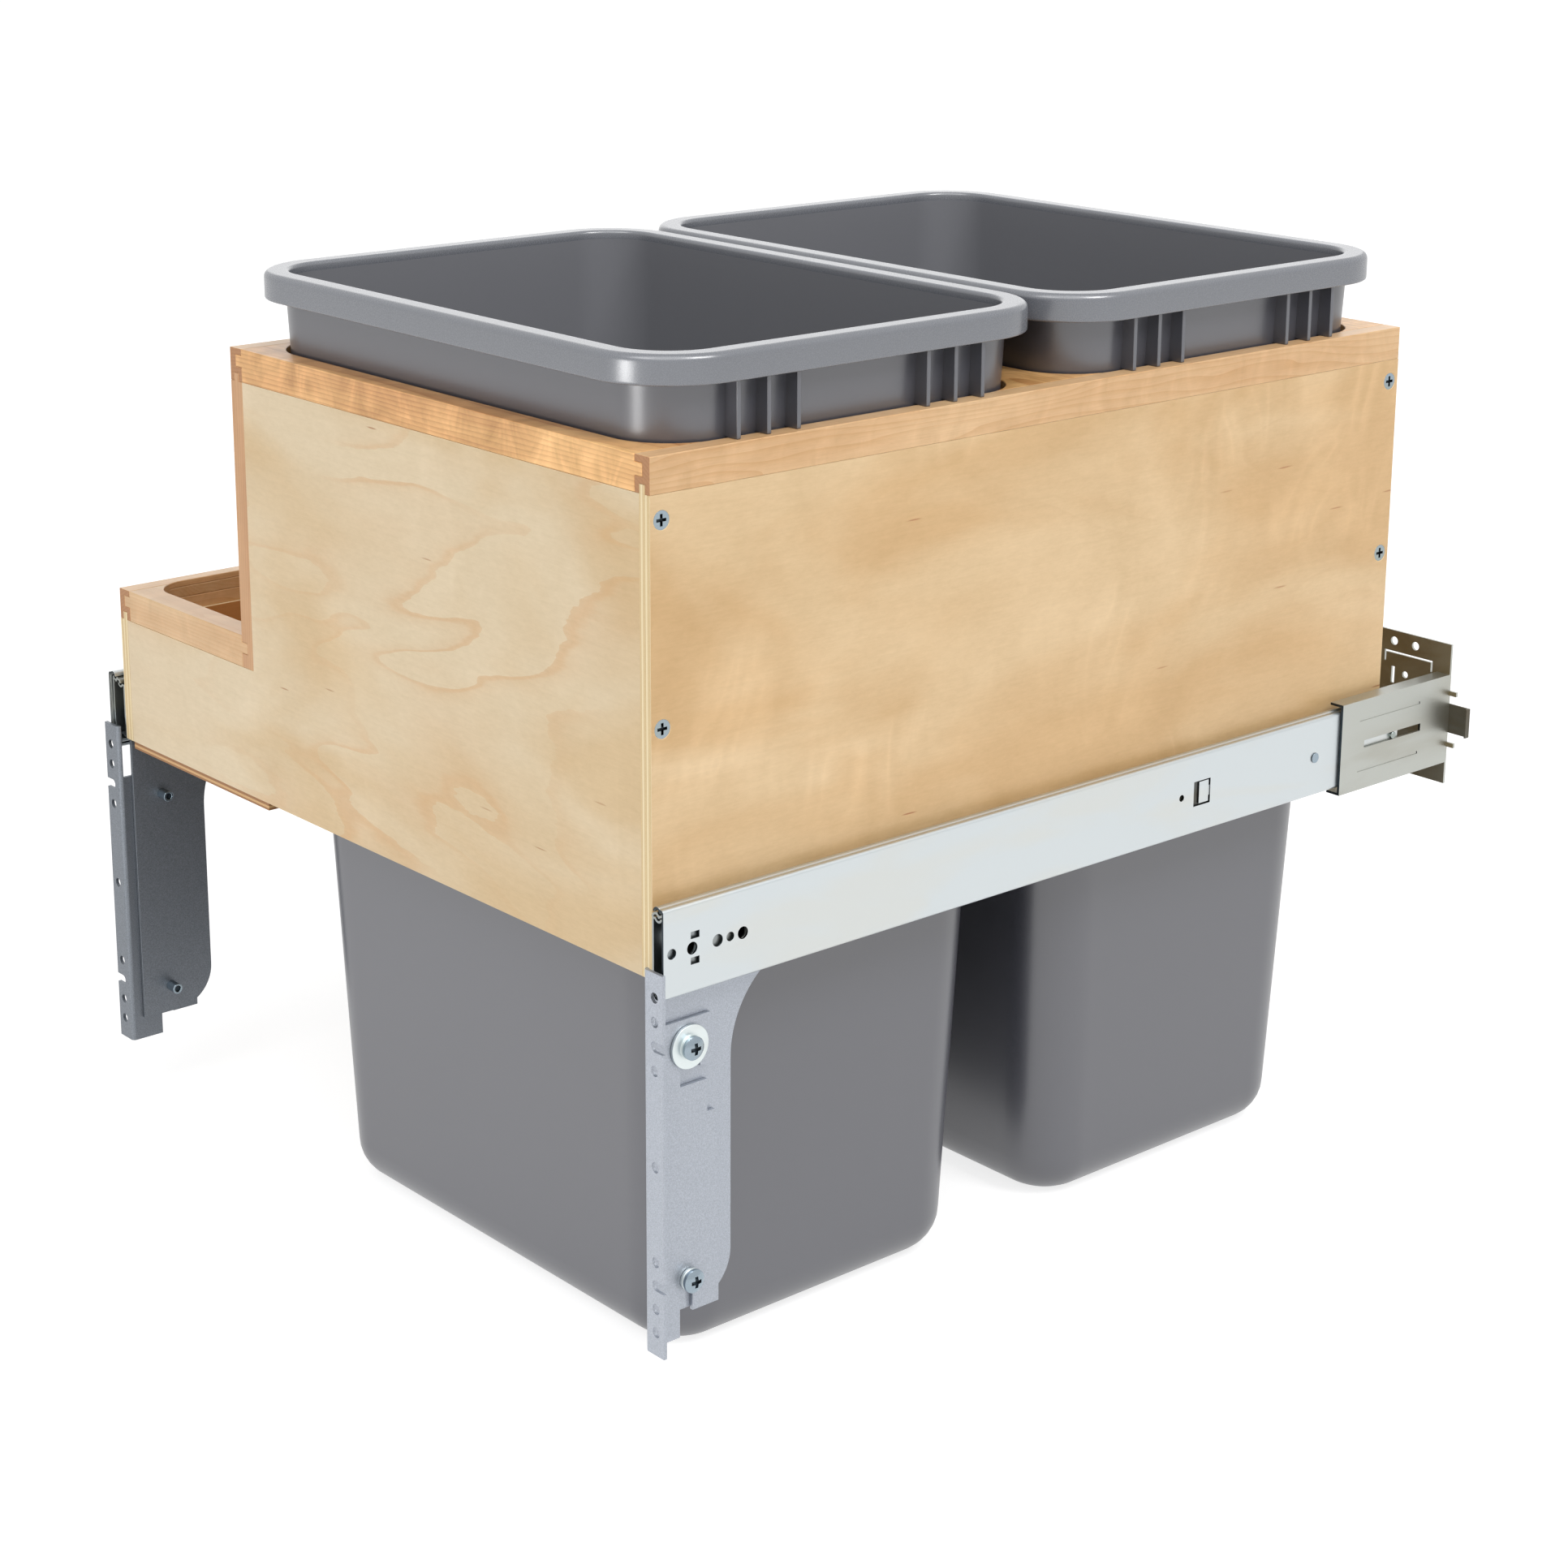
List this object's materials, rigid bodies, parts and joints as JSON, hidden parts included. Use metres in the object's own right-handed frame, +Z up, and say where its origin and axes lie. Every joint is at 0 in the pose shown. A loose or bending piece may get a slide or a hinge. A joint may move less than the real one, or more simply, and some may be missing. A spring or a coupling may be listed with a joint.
{
  "type": "pull-out trash cabinet insert",
  "caption": "Stepped wooden drawer box on full-extension ball slides that carries lift-out grey bins, a low side compartment and drop-on brackets for a cabinet door",
  "frame": {"origin": "middle of the whole closed unit's footprint, at the height of the bins' undersides", "axes": "+X to the unit's right seen from the front, +Y to the rear along the slides, +Z up"},
  "size_m": [0.566, 0.609, 0.534],
  "materials": {
    "side_plywood": "clear satin lacquer over warm birch plywood",
    "front_plywood": "clear satin lacquer over pale birch plywood",
    "solid_wood": "clear satin lacquer over solid hardwood",
    "bin_plastic": "satin moulded grey",
    "slide_steel": "bright zinc plate",
    "cage_steel": "plain bright strip",
    "ball_steel": "polished",
    "screw_steel": "bluish zinc plate",
    "socket_steel": "bright zinc plate",
    "clip_steel": "dull spring steel",
    "bracket_paint": "fine metallic grey paint"
  },
  "bodies": {
    "cabinet_rails": {"rail_right": "slide_steel", "rail_left": "slide_steel", "guide_rivet_right": "ball_steel", "guide_rivet_left": "ball_steel"},
    "drawer": {"side_panel_right": "side_plywood", "side_panel_left": "side_plywood", "divider_panel": "solid_wood", "front_panel": "front_plywood", "rear_panel": "front_plywood", "floor_panel": "side_plywood", "top_board": "solid_wood", "low_top_board": "solid_wood", "top_strip_right": "solid_wood", "top_strip_divider": "solid_wood", "top_strip_left": "solid_wood", "box_screws_right": "screw_steel", "box_screws_left": "screw_steel", "drawer_member_right": "slide_steel", "drawer_member_left": "slide_steel", "slide_screws_right": "screw_steel", "slide_screws_left": "screw_steel", "bracket_plate_right": "bracket_paint", "bracket_plate_left": "bracket_paint", "clamp_screws": "screw_steel", "clamp_collars": "screw_steel", "clamp_washers": "screw_steel", "clamp_nuts": "screw_steel"},
    "front_bin": {"bin_front": "bin_plastic"},
    "rear_bin": {"bin_rear": "bin_plastic"},
    "middle_member_right": {"middle_member_right": "slide_steel"},
    "outer_cage_right": {"outer_cage_right": "cage_steel", "outer_balls_right": "ball_steel"},
    "inner_cage_right": {"inner_cage_right": "cage_steel", "inner_balls_right": "ball_steel"},
    "rear_socket_right": {"socket_right": "socket_steel", "hook_clip_right": "clip_steel"},
    "door_bracket_right": {"door_angle_right": "bracket_paint"},
    "middle_member_left": {"middle_member_left": "slide_steel"},
    "outer_cage_left": {"outer_cage_left": "cage_steel", "outer_balls_left": "ball_steel"},
    "inner_cage_left": {"inner_cage_left": "cage_steel", "inner_balls_left": "ball_steel"},
    "rear_socket_left": {"socket_left": "socket_steel", "hook_clip_left": "clip_steel"},
    "door_bracket_left": {"door_angle_left": "bracket_paint"}
  },
  "joints": [
    {"name": "drawer_slide", "type": "slide", "parent": "cabinet_rails", "child": "drawer", "axis": [0, -1, 0], "range_m": [0, 0.53]},
    {"name": "front_bin_lift", "type": "slide", "parent": "drawer", "child": "front_bin", "axis": [0, 0, 1], "range_m": [0, 0.5]},
    {"name": "rear_bin_lift", "type": "slide", "parent": "drawer", "child": "rear_bin", "axis": [0, 0, 1], "range_m": [0, 0.5]},
    {"name": "middle_slide_right", "type": "slide", "parent": "cabinet_rails", "child": "middle_member_right", "axis": [0, -1, 0], "range_m": [0, 0.265]},
    {"name": "outer_cage_slide_right", "type": "slide", "parent": "cabinet_rails", "child": "outer_cage_right", "axis": [0, -1, 0], "range_m": [0, 0.1325]},
    {"name": "inner_cage_slide_right", "type": "slide", "parent": "cabinet_rails", "child": "inner_cage_right", "axis": [0, -1, 0], "range_m": [0, 0.3975]},
    {"name": "socket_adjust_right", "type": "slide", "parent": "cabinet_rails", "child": "rear_socket_right", "axis": [0, 1, 0], "range_m": [-0.018, 0.024]},
    {"name": "bracket_lift_right", "type": "slide", "parent": "drawer", "child": "door_bracket_right", "axis": [0, 0, 1], "range_m": [0, 0.0165]},
    {"name": "middle_slide_left", "type": "slide", "parent": "cabinet_rails", "child": "middle_member_left", "axis": [0, -1, 0], "range_m": [0, 0.265]},
    {"name": "outer_cage_slide_left", "type": "slide", "parent": "cabinet_rails", "child": "outer_cage_left", "axis": [0, -1, 0], "range_m": [0, 0.1325]},
    {"name": "inner_cage_slide_left", "type": "slide", "parent": "cabinet_rails", "child": "inner_cage_left", "axis": [0, -1, 0], "range_m": [0, 0.3975]},
    {"name": "socket_adjust_left", "type": "slide", "parent": "cabinet_rails", "child": "rear_socket_left", "axis": [0, 1, 0], "range_m": [-0.018, 0.024]},
    {"name": "bracket_lift_left", "type": "slide", "parent": "drawer", "child": "door_bracket_left", "axis": [0, 0, 1], "range_m": [0, 0.0165]}
  ],
  "couplings": [
    {"joint": "middle_slide_right", "follows": "drawer_slide", "ratio": 0.5},
    {"joint": "outer_cage_slide_right", "follows": "drawer_slide", "ratio": 0.25},
    {"joint": "inner_cage_slide_right", "follows": "drawer_slide", "ratio": 0.75},
    {"joint": "middle_slide_left", "follows": "drawer_slide", "ratio": 0.5},
    {"joint": "outer_cage_slide_left", "follows": "drawer_slide", "ratio": 0.25},
    {"joint": "inner_cage_slide_left", "follows": "drawer_slide", "ratio": 0.75}
  ]
}
